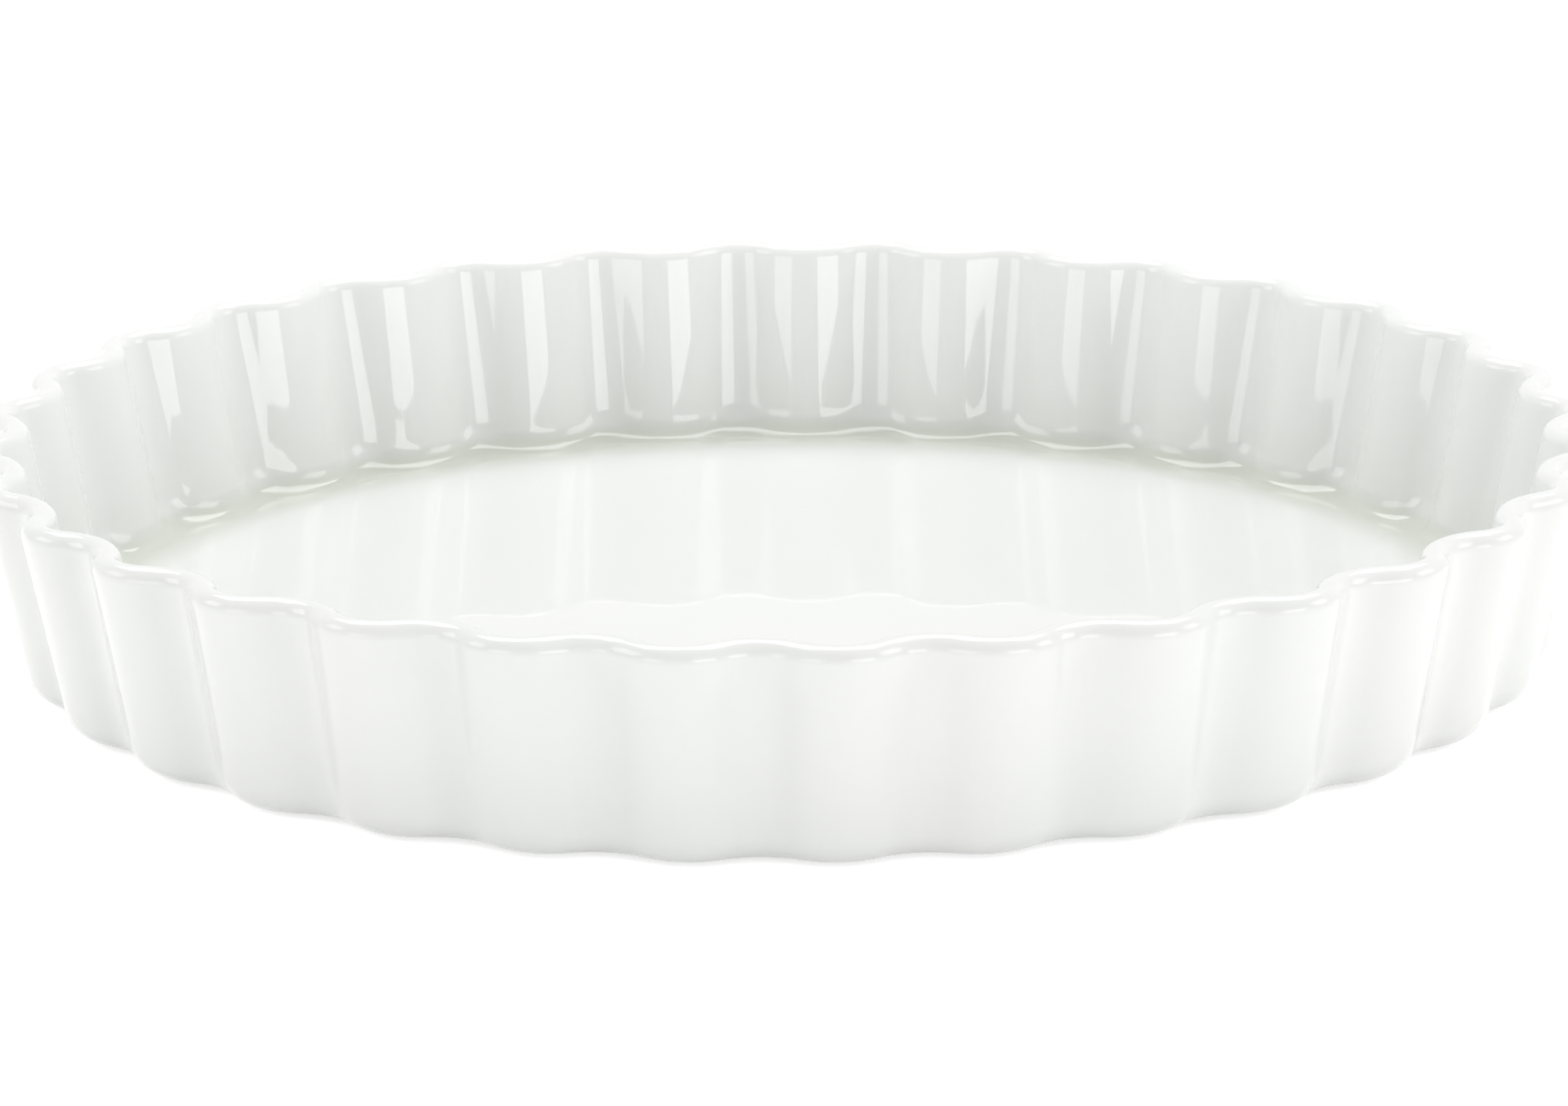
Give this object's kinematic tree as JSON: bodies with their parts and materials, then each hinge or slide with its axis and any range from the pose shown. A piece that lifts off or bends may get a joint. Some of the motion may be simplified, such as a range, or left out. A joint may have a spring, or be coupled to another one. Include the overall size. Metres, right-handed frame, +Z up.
{
  "type": "fluted quiche dish",
  "caption": "Round shallow baking dish in white glazed porcelain, with a leaning fluted wall, a rounded rim, a flat round floor and a foot ring.",
  "frame": {"origin": "middle of the foot ring, on the surface that the dish stands on", "axes": "+Z up out of the mouth along the dish's axis, +X and +Y each through the crest of a flute"},
  "size_m": [0.2786, 0.2786, 0.0391],
  "materials": {
    "glazed_porcelain": "clear glossy glaze over white porcelain, with a bare matt foot ring"
  },
  "bodies": {
    "root": {"dish": "glazed_porcelain"}
  },
  "joints": []
}
